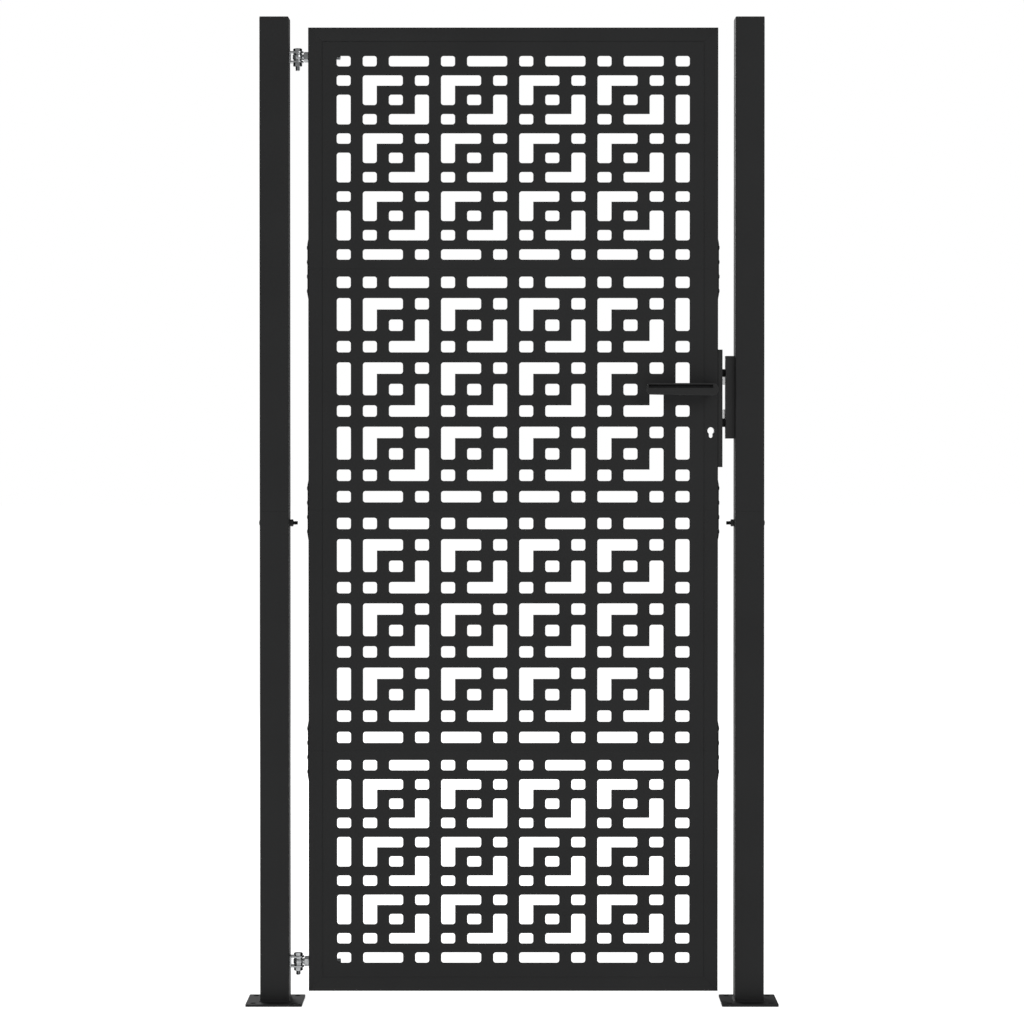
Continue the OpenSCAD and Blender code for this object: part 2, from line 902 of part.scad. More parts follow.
module latch_bolt() {
    tail_in = follower_t / 2 + tail_gap;
    tail_end = peg_x - peg_r - 1;
    bolt_top = latch_z + latch_h / 2;
    color(zinc) {
        block(latch_back, tip_x, bolt_d, latch_z - latch_h / 2, bolt_top);
        for (y = [-tail_in - tail_t, tail_in])
            translate([tail_end, y, lever_z + tail_low])
                cube([latch_back - tail_end + 1, tail_t, latch_h / 2]);
        translate([peg_x, tail_in + tail_t, lever_z + peg_rise])
            rotate([90, 0, 0])
                cylinder(h = 2 * (tail_in + tail_t), r = peg_r);
        block(tab_x, tab_x + tab_t, 2 * (tail_in + tail_t),
            lever_z + follower_r + 1, bolt_top + tab_h);
    }
}

module dead_bolt() {
    color(zinc)
        block(dead_back, tip_x, bolt_d, dead_z - dead_h / 2, dead_z + dead_h / 2);
}

// Hub on the spindle with an arm that pulls the latch bolt's peg
module follower() {
    color(steel)
        difference() {
            union() {
                through_y(2 * follower_r, follower_t / 2);
                through_y(2 * journal_r, case_d / 2);
                block(cylinder_x - arm_w / 2, cylinder_x + arm_w / 2, follower_t,
                    lever_z, lever_z + follower_arm);
            }
            spindle_bar(spindle_w + 0.2, tube_d);
        }
}

// A square bar through the leaf along Y at the lever's axis
module spindle_bar(w, half) {
    block_x = cylinder_x - w / 2;
    block(block_x, block_x + w, 2 * half, lever_z - w / 2, lever_z + w / 2);
}

module spindle() {
    color(zinc)
        spindle_bar(spindle_w, spindle_half);
}

// Grip with a straight top edge, on a round neck; side is -1 at the front
module lever(side) {
    inner = tube_d / 2 + 0.4;
    grip_in = lever_reach - lever_t;
    half = lever_h / 2;
    tip_r = 6;
    tip_low = half - lever_tip_h;
    color(black)
        difference() {
            translate([cylinder_x, 0, lever_z])
                rotate([90, 0, side < 0 ? 0 : 180])
                    mirror([side < 0 ? 0 : 1, 0, 0]) {
                        translate([0, 0, grip_in])
                            linear_extrude(lever_t) {
                                circle(d = lever_h);
                                polygon([[0, -half], [0, half],
                                    [tip_r - lever_len, half],
                                    [-lever_len, half - tip_r],
                                    [-lever_len, tip_low + tip_r],
                                    [tip_r - lever_len, tip_low]]);
                                translate([tip_r - lever_len, half - tip_r])
                                    circle(tip_r);
                                translate([tip_r - lever_len, tip_low + tip_r])
                                    circle(tip_r);
                            }
                        translate([0, 0, inner])
                            cylinder(h = grip_in - inner + 1, d = neck_d);
                    }
            spindle_bar(spindle_w + 0.2, spindle_half + 0.5);
        }
}

// Coil that pushes the latch bolt out: rings of the wire along a helix
module latch_spring() {
    low = case_back + case_wall + wire_r + 0.05;
    high = tab_x - wire_r - 0.05;
    rings = spring_turns * spring_steps;
    points = [for (i = [0:rings], k = [0:wire_sides - 1])
        let (turn = i * 360 / spring_steps,
            around = k * 360 / wire_sides,
            r = spring_r - wire_r + wire_r * cos(around))
        [low + (high - low) * i / rings + wire_r * sin(around),
            r * cos(turn), r * sin(turn)]];
    sides = [for (i = [0:rings - 1], k = [0:wire_sides - 1])
        let (next = (k + 1) % wire_sides)
        [i * wire_sides + k, i * wire_sides + next,
            (i + 1) * wire_sides + next, (i + 1) * wire_sides + k]];
    first = [for (k = [wire_sides - 1:-1:0]) k];
    last = [for (k = [0:wire_sides - 1]) rings * wire_sides + k];
    color(steel)
        translate([0, 0, latch_z + latch_h / 2 + spring_rise])
            polyhedron(points, concat(sides, [first, last]));
}

// ---- Keep ----

// Tab behind the leaf's edge that stops the closed leaf; low is its underside
module stop_ear(low, h) {
    face = clear_w / 2;
    ear_y = tube_d / 2 + stop_gap;
    ear_end = leaf_right - ear_reach;
    translate([ear_end, ear_y, low])
        cube([face - ear_end, ear_t, h]);
    translate([keep_mouth, keep_w / 2 - 1, low])
        cube([face - keep_mouth, ear_y - keep_w / 2 + 1 + ear_t, h]);
}

module keep() {
    low = keep_z - keep_h / 2;
    high = keep_z + keep_h / 2;
    face = clear_w / 2;
    color(black)
        difference() {
            union() {
                block(keep_mouth, face, keep_w, low, high);
                stop_ear(latch_z + latch_h / 2, ear_h);
                stop_ear(dead_z - dead_h / 2 - ear_low_h, ear_low_h);
            }
            block(keep_mouth + keep_wall, face - keep_wall, keep_w - 2 * keep_wall,
                low + keep_block, high - keep_block);
            bolt_windows(keep_mouth - eps, keep_mouth + keep_wall + eps);
            for (dz = [-1, 1])
                translate([keep_mouth, 0, keep_z + dz * keep_screw_rise])
                    countersunk_cut(keep_screw_d, 2 * keep_out);
        }
}

module keep_screws() {
    color(zinc)
        for (dz = [-1, 1])
            translate([keep_mouth, 0, keep_z + dz * keep_screw_rise])
                countersunk_screw(keep_screw_d, keep_out - 0.1);
}

base_plate(-post_x);  // hinge_post_base_plate
post_lower(-post_x);  // hinge_post_lower
post_sleeve(-post_x);  // hinge_post_sleeve
post_upper(-post_x);  // hinge_post_upper
post_cap(-post_x);  // hinge_post_cap
base_plate(post_x);  // latch_post_base_plate
post_lower(post_x);  // latch_post_lower
post_sleeve(post_x);  // latch_post_sleeve
post_upper(post_x);  // latch_post_upper
post_cap(post_x);  // latch_post_cap
post_joint_bolts();
post_joint_nuts();
hinge_bracket(hinge_top_z);  // hinge_bracket_top
hinge_bracket(hinge_bottom_z);  // hinge_bracket_bottom
hinge_pin(hinge_top_z);  // hinge_pin_top
hinge_pin(hinge_bottom_z);  // hinge_pin_bottom
hinge_pin_nuts();
hinge_spacers();
keep();
keep_screws();
panel(0);  // panel_1
panel(1);  // panel_2
panel(2);  // panel_3
panel(3);  // panel_4
hinge_stile(0);  // hinge_stile_1
hinge_stile(1);  // hinge_stile_2
hinge_stile(2);  // hinge_stile_3
hinge_stile(3);  // hinge_stile_4
latch_stile(0);  // latch_stile_1
latch_stile(1);  // latch_stile_2
latch_stile(2);  // latch_stile_3
latch_stile(3);  // latch_stile_4
rail(leaf_top, leaf_top - tube_w);  // top_rail
rail(leaf_bottom, leaf_bottom + tube_w);  // bottom_rail
crossbar(section_bottom(0));  // crossbar_1_lower
crossbar(section_top(1) - crossbar_w);  // crossbar_2_upper
crossbar(section_bottom(1));  // crossbar_2_lower
crossbar(section_top(2) - crossbar_w);  // crossbar_3_upper
crossbar(section_bottom(2));  // crossbar_3_lower
crossbar(section_top(3) - crossbar_w);  // crossbar_4_upper
joint_plates(-1);  // joint_plates_hinge_side
joint_plates(1);  // joint_plates_latch_side
joint_bolts(-1);  // joint_bolts_hinge_side
joint_bolts(1);  // joint_bolts_latch_side
nut_bars(-1);  // nut_bars_hinge_side
nut_bars(1);  // nut_bars_latch_side
eye_bolt(hinge_top_z);  // eye_bolt_top
eye_bolt(hinge_bottom_z);  // eye_bolt_bottom
eye_bolt_nuts();
lock_case();
lock_faceplate();
lock_screws();
lever(-1);  // lever_front
lever(1);  // lever_back
spindle();
follower();
latch_bolt();
latch_spring();
dead_bolt();
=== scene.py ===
# %% [markdown]
# # A garden gate in powder coated steel
#
# The gate comes as a set of measured nodes: posts, tubes, cut sheets, hinges and lock parts. This
# lesson keeps every size and gives the pieces their edges, threads, welds and finishes. The first
# cell loads the nodes and prints where the joints turn.

# %% Load the frame
import json
import math

import bpy
from mathutils import Matrix, Vector

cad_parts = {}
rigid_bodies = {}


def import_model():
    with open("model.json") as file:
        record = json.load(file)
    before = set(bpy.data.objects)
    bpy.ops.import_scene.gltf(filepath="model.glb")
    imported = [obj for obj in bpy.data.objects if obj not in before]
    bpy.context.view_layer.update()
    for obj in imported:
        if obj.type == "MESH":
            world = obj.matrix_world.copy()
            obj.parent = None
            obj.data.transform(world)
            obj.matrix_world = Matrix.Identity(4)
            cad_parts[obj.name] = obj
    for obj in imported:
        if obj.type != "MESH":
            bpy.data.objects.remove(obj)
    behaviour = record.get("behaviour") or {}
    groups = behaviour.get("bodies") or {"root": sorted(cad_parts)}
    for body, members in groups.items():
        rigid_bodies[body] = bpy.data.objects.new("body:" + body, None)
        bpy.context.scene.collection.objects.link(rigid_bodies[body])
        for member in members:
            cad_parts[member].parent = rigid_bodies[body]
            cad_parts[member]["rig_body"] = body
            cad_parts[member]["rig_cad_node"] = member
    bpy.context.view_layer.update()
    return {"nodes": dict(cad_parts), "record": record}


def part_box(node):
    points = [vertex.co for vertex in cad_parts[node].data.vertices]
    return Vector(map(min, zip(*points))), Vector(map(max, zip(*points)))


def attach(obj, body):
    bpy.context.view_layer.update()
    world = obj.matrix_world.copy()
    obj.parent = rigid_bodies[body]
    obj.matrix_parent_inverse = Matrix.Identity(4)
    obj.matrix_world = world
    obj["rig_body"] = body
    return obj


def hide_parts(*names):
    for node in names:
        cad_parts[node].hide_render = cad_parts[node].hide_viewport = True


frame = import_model()
nodes = frame["nodes"]

MM = 0.001  # the lesson thinks in millimetres, Blender in metres
record = frame["record"]
body_of = {node: body for body, members in record["behaviour"]["bodies"].items()
    for node in members}
slot_of = {row["node"]: row["material_slot"] for row in record["subparts"]}
joint_place = {row["name"]: Vector([round(v / MM, 2) for v in row["pos_m"]])
    for row in record["behaviour"]["joints"] if row.get("pos_m")}


def box_mm(node):
    """A node's lowest and highest corners in millimetres, to a hundredth."""
    return [Vector([round(v / MM, 2) for v in corner]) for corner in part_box(node)]


print("joints turn at", {name: tuple(place) for name, place in joint_place.items()})

# %% [markdown]
# ## Camera
#
# A long lens, level and about as high as the middle of the gate, keeps the posts upright and shows
# a little of the base plates from above. The small lens shift lifts the gate in the frame.

# %% Camera
EYE = (0, -6.5, 1.2)  # metres: in front of the gate, at chest height
LOOK_DOWN = 0.643  # degrees
camera = bpy.data.objects.new("camera", bpy.data.cameras.new("camera"))
bpy.context.collection.objects.link(camera)
camera.data.sensor_width = 36
camera.data.lens = 109.9
camera.data.shift_y = -0.05
camera.location = EYE
camera.rotation_euler = (math.radians(90 - LOOK_DOWN), 0, 0)
camera.data.clip_end = 100  # metres, well past the far edge of the floor
bpy.context.scene.camera = camera
print("camera", tuple(camera.location), "lens", camera.data.lens)

# %% [markdown]
# ## Light
#
# Dark paint mirrors whatever stands in front of it, so in an all-white room it would look grey. The
# room is therefore dim for the light that falls on the gate, and white only where the camera looks
# at it. Big soft lamps do the rest: two in front, one behind.

# %% Light
ROOM_LIGHT = 0.3  # what the room sheds on the gate
ROOM_SEEN = 1.0  # how bright it looks from the camera
GATE_MIDDLE = Vector((0, 0, 1.0))
scene = bpy.context.scene
scene.view_settings.view_transform = "Standard"


def deselect():
    if bpy.context.object and bpy.context.object.mode == "EDIT":
        bpy.ops.object.mode_set(mode="OBJECT")
    bpy.ops.object.select_all(action="DESELECT")


def soft_lamp(name, place, size, power):
    lamp = bpy.data.objects.new(name, bpy.data.lights.new(name, "AREA"))
    bpy.context.collection.objects.link(lamp)
    lamp.data.shape = "SQUARE"
    lamp.data.size = size
    lamp.data.energy = power
    lamp.location = place
    towards = GATE_MIDDLE - Vector(place)
    lamp.rotation_euler = towards.to_track_quat("-Z", "Y").to_euler()


soft_lamp("lamp_right", (3.5, -4.5, 4.2), size=3.0, power=110)
soft_lamp("lamp_left", (-4.5, -3.5, 2.5), size=3.0, power=45)
soft_lamp("lamp_back", (-2.5, 4.5, 3.5), size=3.0, power=160)

world = bpy.data.worlds.new("room")
scene.world = world
world.use_nodes = True
room = world.node_tree
room.nodes.clear()


def background(strength):
    made = room.nodes.new("ShaderNodeBackground")
    made.inputs["Color"].default_value = (1, 1, 1, 1)
    made.inputs["Strength"].default_value = strength
    return made


seen = room.nodes.new("ShaderNodeLightPath")
choice = room.nodes.new("ShaderNodeMixShader")
room_out = room.nodes.new("ShaderNodeOutputWorld")
room.links.new(seen.outputs["Is Camera Ray"], choice.inputs["Fac"])
room.links.new(background(ROOM_LIGHT).outputs["Background"], choice.inputs[1])
room.links.new(background(ROOM_SEEN).outputs["Background"], choice.inputs[2])
room.links.new(choice.outputs["Shader"], room_out.inputs["Surface"])

# %% [markdown]
# ## Writing shaders as expressions
#
# `Value` wraps one output of a node, so that `0.4 + 0.2 * grain` adds the Math nodes by itself.
# `Finish` is one material, and its `node` method makes every other node.

# %% Shader helpers


class Value:
    def __init__(self, finish, socket):
        self.finish = finish
        self.socket = socket

    def math(self, operation, a, b):
        return self.finish.node("ShaderNodeMath", {"operation": operation}, {0: a, 1: b})

    def __add__(self, other):
        return self.math("ADD", self, other)

    def __radd__(self, other):
        return self.math("ADD", other, self)

    def __sub__(self, other):
        return self.math("SUBTRACT", self, other)

    def __rsub__(self, other):
        return self.math("SUBTRACT", other, self)

    def __mul__(self, other):
        return self.math("MULTIPLY", self, other)

    def __rmul__(self, other):
        return self.math("MULTIPLY", other, self)


class Finish:
    def __init__(self, name, metallic, roughness):
        self.material = bpy.data.materials.new(name)
        self.material.use_nodes = True
        self.tree = self.material.node_tree
        self.shader = self.tree.nodes["Principled BSDF"]
        self.shader.inputs["Metallic"].default_value = metallic
        self.shader.inputs["Roughness"].default_value = roughness

    def put(self, socket, value):
        if isinstance(value, Value):
            self.tree.links.new(value.socket, socket)
        else:
            socket.default_value = value

    def node(self, kind, settings, inputs, output=0):
        made = self.tree.nodes.new(kind)
        for key, value in settings.items():
            if key == "stops":
                for stop, (place, colour) in zip(made.color_ramp.elements, value):
                    stop.position = place
                    stop.color = (*colour, 1)
            else:
                setattr(made, key, value)
        for key, value in inputs.items():
            self.put(made.inputs[key], value)
        return Value(self, made.outputs[output])

    def place(self, stretch=(1, 1, 1)):
        """Object coordinates, squeezed along an axis to draw the pattern out."""
        where = self.node("ShaderNodeTexCoord", {}, {}, "Object")
        return self.node("ShaderNodeMapping", {}, {"Vector": where, "Scale": stretch})

    def noise(self, scale, detail=2, stretch=(1, 1, 1)):
        return self.node("ShaderNodeTexNoise", {}, {
            "Vector": self.place(stretch), "Scale": scale, "Detail": detail})

    def bands(self, value, low, high, dark, light):
        """A colour between dark and light as value goes from low to high."""
        return self.node("ShaderNodeValToRGB", {"stops": [(low, dark), (high, light)]}, {0: value})

    def set(self, sockets):
        for name, value in sockets.items():
            self.put(self.shader.inputs[name], value)

    def bump(self, height, depth, strength):
        self.set({"Normal": self.node("ShaderNodeBump", {}, {
            "Height": height, "Distance": depth, "Strength": strength})})


# %% [markdown]
# ## Finishes
#
# Fine-texture powder coating is the finish of nearly every piece: a matt dark grey with grains
# under a millimetre that break up the gloss, and wide, faint clouds where the powder lies thicker.
# Grains come from a noise bump, clouds from a slow noise in colour and roughness. A noise's scale
# is how many of its grains lie side by side in a metre.

# %% Powder coating


def grey(level, tint=(1, 1, 1)):
    return tuple(level * t for t in tint)


def powder_coating(name, level, roughness, grain_depth, specular):
    finish = Finish(name, metallic=0.0, roughness=roughness)
    clouds = finish.noise(6, detail=3)
    grain = finish.noise(1500, detail=1)
    speckle = finish.noise(420, detail=2)
    finish.set({
        "Base Color": finish.bands(0.7 * clouds + 0.3 * speckle, 0.3, 0.7,
            grey(level * 0.88, (0.98, 1.0, 1.02)), grey(level * 1.12, (0.98, 1.0, 1.02))),
        "Roughness": roughness - 0.05 + 0.1 * speckle,
        "Specular IOR Level": specular})
    finish.bump(grain + 0.4 * speckle, depth=grain_depth, strength=0.5)
    return finish.material


anthracite = powder_coating("anthracite_coating", level=0.0125, roughness=0.62,
    grain_depth=0.06 * MM, specular=0.2)
satin_black = powder_coating("black_coating", level=0.009, roughness=0.42,
    grain_depth=0.03 * MM, specular=0.3)
print(anthracite.name, len(anthracite.node_tree.nodes), "nodes")

# %% [markdown]
# Zinc plating is a metal film that grows in patches: its colour hardly changes, but its gloss does.
# A cell pattern gives the patches and a finer noise gives the dull bloom between them.

# %% Zinc, steel and plastic


def zinc_plating(name, level, patch, roughness):
    finish = Finish(name, metallic=1.0, roughness=roughness)
    patches = finish.node("ShaderNodeTexVoronoi", {"feature": "F1"}, {
        "Vector": finish.place(), "Scale": patch}, "Distance")
    bloom = finish.noise(220, detail=4)
    finish.set({
        "Base Color": finish.bands(bloom, 0.3, 0.7, grey(level * 0.8, (0.97, 1, 1.02)),
            grey(level * 1.1, (0.98, 1, 1.01))),
        "Roughness": roughness - 0.08 + 0.12 * bloom + 0.1 * patches})
    finish.bump(bloom, depth=0.04 * MM, strength=0.4)
    return finish.material


def brushed_steel(name, level, stretch, roughness):
    finish = Finish(name, metallic=1.0, roughness=roughness)
    lines = finish.noise(2500, detail=3, stretch=stretch)
    finish.set({
        "Base Color": finish.bands(lines, 0.35, 0.65, grey(level * 0.85), grey(level * 1.1)),
        "Roughness": roughness - 0.1 + 0.2 * lines})
    finish.bump(lines, depth=0.02 * MM, strength=0.5)
    return finish.material


def moulded_plastic(name, level, roughness):
    finish = Finish(name, metallic=0.0, roughness=roughness)
    grain = finish.noise(900, detail=2)
    finish.set({
        "Base Color": finish.bands(grain, 0.3, 0.7, grey(level * 0.85), grey(level * 1.15)),
        "Roughness": roughness + 0.1 * grain})
    finish.bump(grain, depth=0.05 * MM, strength=0.6)
    return finish.material


FINISHES = {
    "anthracite_coating": anthracite,
    "black_coating": satin_black,
    "black_plastic": moulded_plastic("black_plastic", level=0.012, roughness=0.5),
    "zinc_hardware": zinc_plating("zinc_plating", level=0.4, patch=260, roughness=0.24),
    "bright_steel": brushed_steel("bright_steel", level=0.8, stretch=(1, 0.05, 1),
        roughness=0.38),
    "plain_steel": zinc_plating("plain_steel", level=0.4, patch=90, roughness=0.45),
}
for row in record["subparts"]:
    node = nodes[row["node"]]
    node.data.materials.clear()
    node.data.materials.append(FINISHES[row["material_slot"]])
print(len(FINISHES), "finishes on", len(nodes), "nodes")

# %% [markdown]
# ## The floor
#
# A wide, flat, pale floor is only a plane, so it isn't part of the gate. It glows a
# little by itself, which keeps it as white far away as it is near the lamps.

# %% Floor


def pale_floor():
    deselect()
    bpy.ops.mesh.primitive_plane_add(size=80, location=(0, 0, 0))
    floor = bpy.context.object
    floor.name = "floor"
    finish = Finish("floor", metallic=0.0, roughness=0.9)
    speckle = finish.noise(40, detail=3)
    finish.set({
        "Base Color": finish.bands(speckle, 0.3, 0.7, grey(0.84), grey(0.88)),
        "Emission Color": finish.bands(speckle, 0.3, 0.7, grey(0.97), grey(1.0)),
        "Emission Strength": 0.8,
        "Specular IOR Level": 0.1})
    floor.data.materials.append(finish.material)


pale_floor()

# %% [markdown]
# ## Tools for shaping
#
# Every operator works on what is selected. `only` selects one piece, and `pick` goes on into edit
# mode with just the corners, edges or faces that lie wholly where a test says. `modify` adds a
# modifier and applies it at once. `settle` moves a piece's place into its mesh, as on the nodes.

# %% Selecting, modifying, settling


def only(piece):
    deselect()
    piece.select_set(True)
    bpy.context.view_layer.objects.active = piece


def pick(piece, kind, wanted):
    only(piece)
    bpy.ops.object.mode_set(mode="EDIT")
    bpy.ops.mesh.select_mode(type=kind)
    bpy.ops.mesh.select_all(action="DESELECT")
    bpy.ops.object.mode_set(mode="OBJECT")
    mesh = piece.data
    rows = {"VERT": mesh.vertices, "EDGE": mesh.edges, "FACE": mesh.polygons}[kind]
    count = 0
    for row in rows:
        ends = [row.index] if kind == "VERT" else row.vertices
        row.select = all(wanted(mesh.vertices[i].co / MM) for i in ends)
        count += row.select
    bpy.ops.object.mode_set(mode="EDIT")
    return count


def modify(piece, kind, **settings):
    only(piece)
    step = piece.modifiers.new("step", kind)
    for key, value in settings.items():
        setattr(step, key, value)
    bpy.ops.object.modifier_apply(modifier=step.name)


def settle(piece, matrix=None):
    if matrix:
        piece.matrix_world = matrix @ piece.matrix_world
    only(piece)
    bpy.ops.object.transform_apply(location=True, rotation=True, scale=True)
    return piece


def turned(axis, degrees, place):
    spin = Matrix.Rotation(math.radians(degrees), 4, axis)
    return Matrix.Translation(Vector(place) * MM) @ spin


def copied(piece, matrix):
    twin = piece.copy()
    twin.data = piece.data.copy()
    bpy.context.collection.objects.link(twin)
    return settle(twin, matrix)


def joined(pieces):
    deselect()
    for piece in pieces:
        piece.select_set(True)
    bpy.context.view_layer.objects.active = pieces[0]
    bpy.ops.object.join()
    return pieces[0]


def discard(piece):
    bpy.data.objects.remove(piece, do_unlink=True)


# %% [markdown]
# A finished piece takes its finish, rides on the body of the node that it stands for, and hides
# that node. Its edges are rounded by a bevel on every sharp edge, because no real edge is perfectly
# sharp, and a coated or plated one least of all: the small round catches a line of light.

# %% Rounding and finishing


def round_edges(piece, width, segments=2, angle=35):
    only(piece)
    bpy.ops.object.shade_smooth_by_angle(angle=math.radians(angle))
    modify(piece, "BEVEL", width=width * MM, segments=segments, limit_method="ANGLE",
        angle_limit=math.radians(angle), harden_normals=True, use_clamp_overlap=False)


def finish_piece(piece, name, *stands_for):
    piece.name = name
    piece.data.name = name
    slot = slot_of[stands_for[0]]
    piece.data.materials.clear()
    piece.data.materials.append(FINISHES[slot])
    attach(piece, body_of[stands_for[0]])
    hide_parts(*stands_for)
    print(name, len(piece.data.polygons), "faces")


# %% [markdown]
# ## Sheet, tube and cast pieces
#
# The cut sheets, tubes, posts and plates have the right outline already. Each is copied, its loose
# triangles are merged back into one skin, flat faces are dissolved into single ones, and the edges
# are rounded: 0.25 mm on laser cut sheet, up to 0.9 mm on a moulded cap. Seven nodes are left as
# they are, since they sit inside the tubes and the lock, where a rounded edge would never be seen.

# %% Refining a copy of a node
SAME_POINT = 0.002  # millimetres
FLAT = 0.5  # degrees between faces that become one


def raw_copy(node):
    source = nodes[node]
    piece = source.copy()
    piece.data = source.data.copy()
    piece.parent = None
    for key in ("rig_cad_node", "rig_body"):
        if key in piece:
            del piece[key]
    bpy.context.collection.objects.link(piece)
    piece.matrix_world = source.matrix_world
    settle(piece)
    pick(piece, "VERT", lambda spot: True)
    bpy.ops.mesh.remove_doubles(threshold=SAME_POINT * MM)
    bpy.ops.mesh.dissolve_limited(angle_limit=math.radians(FLAT))
    bpy.ops.object.mode_set(mode="OBJECT")
    return piece


def refine(node, width):
    piece = raw_copy(node)
    round_edges(piece, width)
    finish_piece(piece, node + "_skin", node)


EDGES = {  # millimetres of rounding, and the nodes that get it
    0.25: [f"panel_{i}" for i in range(1, 5)],
    0.3: [node for node in nodes if "stile" in node or "rail" in node or "crossbar" in node],
    0.4: [node for node in nodes if node.endswith(("post_lower", "post_upper"))],
    0.5: ["joint_plates_hinge_side", "joint_plates_latch_side", "lock_case"],
    0.6: ["hinge_bracket_top", "hinge_bracket_bottom", "lock_faceplate", "keep"],
    0.9: ["hinge_post_cap", "latch_post_cap"],
}
for edge, members in EDGES.items():
    for member in members:
        refine(member, edge)

# %% [markdown]
# ## Base plates with their weld
#
# Each post is welded to its plate all the way round. The weld is a sloping collar at the post's
# foot: a square with rounded corners, extruded up and drawn in, then cut into short stretches whose
# corners are shaken a little, as a hand-laid bead is never quite even.

# %% Base plates
WELD_LEG = 3.0  # the bead's height, and its width on the plate
WELD_CORNER = 6.0
WELD_GAP = 0.3  # keeps the bead's inner edge off the post's skin
WELD_SHAKE = 0.35


def weld_collar(post_x, post_w, low):
    deselect()
    outer_w = post_w + 2 * WELD_LEG
    bpy.ops.mesh.primitive_plane_add(size=outer_w * MM, location=(post_x * MM, 0, low * MM))
    collar = settle(bpy.context.object)
    pick(collar, "VERT", lambda spot: True)
    bpy.ops.mesh.bevel(offset=WELD_CORNER * MM, segments=4, affect="VERTICES")
    pick(collar, "EDGE", lambda spot: True)
    bpy.ops.mesh.subdivide(number_cuts=9)
    pick(collar, "FACE", lambda spot: True)
    bpy.ops.mesh.extrude_region_move(TRANSFORM_OT_translate={"value": (0, 0, WELD_LEG * MM)})
    inner = (post_w + WELD_GAP) / outer_w
    bpy.ops.transform.resize(value=(inner, inner, 1), center_override=(post_x * MM, 0, 0))
    bpy.ops.object.mode_set(mode="OBJECT")
    reach = post_w / 2 + 2 * WELD_GAP
    edge = pick(collar, "VERT", lambda spot: abs(spot.z - low) < 0.1
        and max(abs(spot.x - post_x), abs(spot.y)) > reach)
    bpy.ops.transform.vertex_random(offset=WELD_SHAKE * MM, seed=3)
    bpy.ops.object.mode_set(mode="OBJECT")
    for vertex in collar.data.vertices:
        vertex.co.z = max(vertex.co.z, low * MM)
    print("weld with", edge, "points along its foot")
    return collar


for side in ("hinge", "latch"):
    plate_node = side + "_post_base_plate"
    low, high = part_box(plate_node)
    post_low, post_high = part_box(side + "_post_lower")
    plate = raw_copy(plate_node)
    round_edges(plate, 0.6)
    middle = (low.x + high.x) / 2 / MM
    collar = weld_collar(middle, (post_high.x - post_low.x) / MM, high.z / MM)
    finish_piece(joined([plate, collar]), side + "_post_plate_and_weld", plate_node)

# %% [markdown]
# ## Turned pieces
#
# Bolts, pins, washers and screws are turned shapes. Their outline is laid down point by point: a
# plane is merged to one corner, which is extruded along the outline and spun round the X axis.
# Threads are rings at the real pitch, which at this size look like a true helix and close cleanly.

# %% Turning on a lathe
HEX = 1 / math.cos(math.pi / 6)  # a hexagon's width over corners, for 1 over flats
ROOT_DEPTH = 0.55  # of a thread, in pitches
END_DEPTH = 0.8  # of the chamfer at its end, in pitches
CUT_SLIVER = 0.02  # points nearer than this after a cut are one


def lathe(name, outline, steps=32, closed=False):
    """Spins an outline of (along, radius) points in millimetres round the X axis."""
    deselect()
    bpy.ops.mesh.primitive_plane_add(size=1 * MM, location=(0, 0, 0))
    piece = bpy.context.object
    piece.name = name
    bpy.ops.object.mode_set(mode="EDIT")
    bpy.ops.mesh.select_mode(type="VERT")
    bpy.ops.mesh.select_all(action="SELECT")
    bpy.ops.mesh.merge(type="CENTER")
    spots = [Vector((along, radius, 0)) * MM for along, radius in outline]
    if closed:
        spots.append(spots[0])
    bpy.ops.transform.translate(value=spots[0])
    for here, there in zip(spots, spots[1:]):
        bpy.ops.mesh.extrude_vertices_move(TRANSFORM_OT_translate={"value": there - here})
    bpy.ops.mesh.select_all(action="SELECT")
    bpy.ops.mesh.remove_doubles(threshold=0.001 * MM)
    bpy.ops.mesh.select_all(action="SELECT")
    bpy.ops.mesh.spin(steps=steps, angle=2 * math.pi, center=(0, 0, 0), axis=(1, 0, 0))
    bpy.ops.mesh.select_all(action="SELECT")
    bpy.ops.mesh.remove_doubles(threshold=0.001 * MM)
    bpy.ops.mesh.normals_make_consistent(inside=False)
    bpy.ops.object.mode_set(mode="OBJECT")
    bpy.ops.object.shade_smooth_by_angle(angle=math.radians(32))
    return piece


def thread(start, end, radius, pitch):
    """Outline points of a thread: one root and one crest per pitch, with a chamfer at the end."""
    points = []
    turns = int((end - start) / pitch)
    for turn in range(turns):
        along = start + turn * pitch
        points.append((along + pitch / 2, radius - ROOT_DEPTH * pitch))
        points.append((along + pitch, radius))
    return points + [(end, radius - END_DEPTH * pitch), (end, 0)]


def dome(radius, height, points=6):
    """Outline of a domed head that bulges towards -X from the YZ plane."""
    ball = (radius ** 2 + height ** 2) / (2 * height)
    outline = [(-height, 0)]
    for i in range(1, points + 1):
        rise = height * (i / points) ** 2
        outline.append((rise - height, 0.998 * math.sqrt(ball ** 2 - (ball - rise) ** 2)))
    return outline


def prism(af, start, end, corner_up=False):
    """A six-sided bar along X, with its flats or its corners level."""
    deselect()
    bpy.ops.mesh.primitive_cylinder_add(vertices=6, radius=af / 2 * HEX * MM,
        depth=(end - start) * MM, location=((start + end) / 2 * MM, 0, 0),
        rotation=(0, math.pi / 2, 0))
    bar = settle(bpy.context.object)
    if corner_up:
        settle(bar, turned("X", 30, (0, 0, 0)))
    return bar


def carve(piece, tool, operation="DIFFERENCE"):
    modify(piece, "BOOLEAN", object=tool, operation=operation, solver="EXACT")
    discard(tool)
    pick(piece, "VERT", lambda spot: True)
    bpy.ops.mesh.remove_doubles(threshold=CUT_SLIVER * MM)
    bpy.ops.object.mode_set(mode="OBJECT")
    return piece


